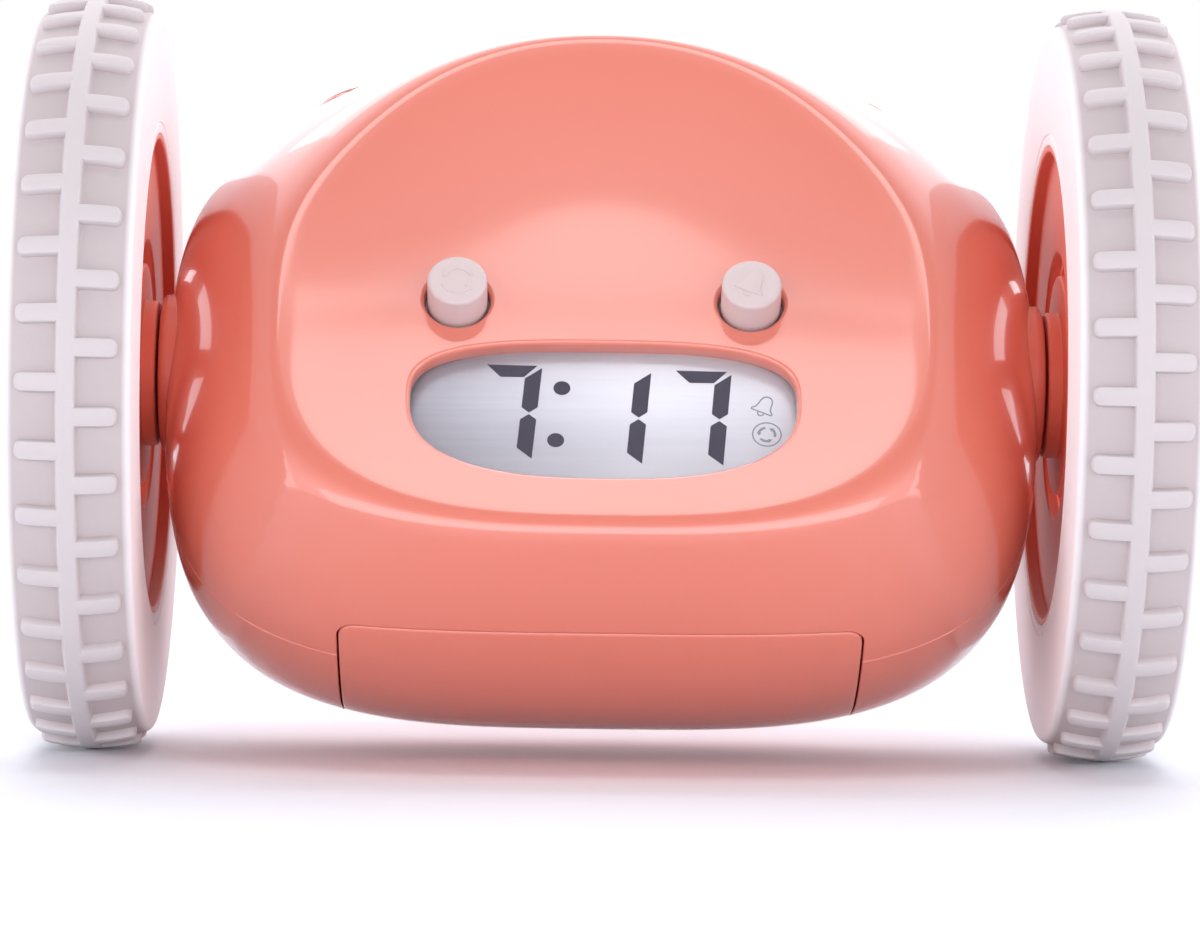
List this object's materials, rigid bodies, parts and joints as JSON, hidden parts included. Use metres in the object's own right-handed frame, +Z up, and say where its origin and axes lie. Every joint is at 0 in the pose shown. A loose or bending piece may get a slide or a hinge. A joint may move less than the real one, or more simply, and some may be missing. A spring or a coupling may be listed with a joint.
{
  "type": "runaway alarm clock",
  "caption": "rounded alarm clock with a sloping face and a display window, slung between two large driven wheels with lugged tyres",
  "frame": {"origin": "on the floor below the middle of the wheel axle", "axes": "+X along the wheel axle, -Y the way the face looks, +Z up"},
  "size_m": [0.133, 0.089, 0.089],
  "materials": {
    "casing": "glossy coral moulded plastic",
    "window": "clear display cover",
    "display": "pale grey liquid crystal panel",
    "diffuser": "white light diffuser",
    "connector": "pink elastomer strip",
    "moulding": "off-white inner moulding",
    "board": "green circuit board",
    "component": "black component",
    "button": "off-white button",
    "cell": "plain metal-jacketed cell",
    "contact": "nickel-plated spring contact",
    "screw": "plated steel",
    "motor_steel": "drawn steel can",
    "pinion": "plain brass",
    "shaft": "ground steel",
    "disc": "glossy coral moulded plastic",
    "tyre": "off-white tyre",
    "hub_cap": "off-white cap"
  },
  "bodies": {
    "clock_body": {"front_casing": "casing", "rear_casing": "casing", "lcd_cover": "window", "lcd_panel": "display", "lcd_frame": "moulding", "lcd_backlight": "diffuser", "lcd_connector": "connector", "main_board": "board", "front_switches": "component", "snooze_board": "board", "rear_board": "board", "rear_switches": "component", "buzzer": "component", "battery_tray": "moulding", "battery_cells": "cell", "battery_contacts": "contact", "casing_screws": "screw", "board_screws": "screw", "left_gear_case": "moulding", "right_gear_case": "moulding", "left_gear_cover": "moulding", "right_gear_cover": "moulding", "left_motor_can": "motor_steel", "right_motor_can": "motor_steel", "left_motor_cap": "component", "right_motor_cap": "component", "left_idler_pin": "screw", "right_idler_pin": "screw", "left_bushing": "pinion", "right_bushing": "pinion"},
    "left_wheel": {"left_output_gear": "moulding", "left_wheel_shaft": "shaft", "left_wheel_disc": "disc", "left_tyre": "tyre", "left_hub_cap": "hub_cap"},
    "left_idler": {"left_idler_gear": "moulding"},
    "left_rotor": {"left_motor_rotor": "motor_steel", "left_motor_pinion": "pinion"},
    "right_wheel": {"right_output_gear": "moulding", "right_wheel_shaft": "shaft", "right_wheel_disc": "disc", "right_tyre": "tyre", "right_hub_cap": "hub_cap"},
    "right_idler": {"right_idler_gear": "moulding"},
    "right_rotor": {"right_motor_rotor": "motor_steel", "right_motor_pinion": "pinion"},
    "alarm_button": {"alarm_button": "button"},
    "run_button": {"run_button": "button"},
    "snooze_bar": {"snooze_bar": "casing"},
    "hour_button": {"hour_button": "button"},
    "minute_button": {"minute_button": "button"},
    "time_button": {"time_button": "button"},
    "set_button": {"set_button": "button"},
    "battery_door": {"battery_door": "casing"}
  },
  "joints": [
    {"name": "left_wheel_spin", "type": "hinge", "parent": "clock_body", "child": "left_wheel", "pos_m": [0, 0, 0.0445], "axis": [1, 0, 0], "continuous": true},
    {"name": "left_idler_spin", "type": "hinge", "parent": "clock_body", "child": "left_idler", "pos_m": [0, 0.01073, 0.0349], "axis": [1, 0, 0], "continuous": true},
    {"name": "left_rotor_spin", "type": "hinge", "parent": "clock_body", "child": "left_rotor", "pos_m": [0, 0.00211, 0.04567], "axis": [1, 0, 0], "continuous": true},
    {"name": "right_wheel_spin", "type": "hinge", "parent": "clock_body", "child": "right_wheel", "pos_m": [0, 0, 0.0445], "axis": [1, 0, 0], "continuous": true},
    {"name": "right_idler_spin", "type": "hinge", "parent": "clock_body", "child": "right_idler", "pos_m": [0, 0.01073, 0.0349], "axis": [1, 0, 0], "continuous": true},
    {"name": "right_rotor_spin", "type": "hinge", "parent": "clock_body", "child": "right_rotor", "pos_m": [0, 0.00211, 0.04567], "axis": [1, 0, 0], "continuous": true},
    {"name": "alarm_button_press", "type": "slide", "parent": "clock_body", "child": "alarm_button", "axis": [0, 0.8039, -0.5948], "range_m": [0, 0.0007], "stiffness_N_per_m": 800, "springref_m": -0.0002},
    {"name": "run_button_press", "type": "slide", "parent": "clock_body", "child": "run_button", "axis": [0, 0.8039, -0.5948], "range_m": [0, 0.0007], "stiffness_N_per_m": 800, "springref_m": -0.0002},
    {"name": "snooze_press", "type": "slide", "parent": "clock_body", "child": "snooze_bar", "axis": [0, -0.7193, -0.6947], "range_m": [0, 0.0015], "stiffness_N_per_m": 800, "springref_m": -0.0003},
    {"name": "hour_button_press", "type": "slide", "parent": "clock_body", "child": "hour_button", "axis": [0, -0.9914, 0.1305], "range_m": [0, 0.0006], "stiffness_N_per_m": 800, "springref_m": -0.0002},
    {"name": "minute_button_press", "type": "slide", "parent": "clock_body", "child": "minute_button", "axis": [0, -0.9914, 0.1305], "range_m": [0, 0.0006], "stiffness_N_per_m": 800, "springref_m": -0.0002},
    {"name": "time_button_press", "type": "slide", "parent": "clock_body", "child": "time_button", "axis": [0, -0.9914, 0.1305], "range_m": [0, 0.0006], "stiffness_N_per_m": 800, "springref_m": -0.0002},
    {"name": "set_button_press", "type": "slide", "parent": "clock_body", "child": "set_button", "axis": [0, -0.9914, 0.1305], "range_m": [0, 0.0006], "stiffness_N_per_m": 800, "springref_m": -0.0002},
    {"name": "battery_door_pull", "type": "slide", "parent": "clock_body", "child": "battery_door", "axis": [0, -0.4147, -0.91], "range_m": [0, 0.03]}
  ],
  "couplings": [
    {"joint": "left_idler_spin", "follows": "left_wheel_spin", "ratio": -3},
    {"joint": "left_rotor_spin", "follows": "left_wheel_spin", "ratio": 10.8},
    {"joint": "right_idler_spin", "follows": "right_wheel_spin", "ratio": -3},
    {"joint": "right_rotor_spin", "follows": "right_wheel_spin", "ratio": 10.8}
  ]
}
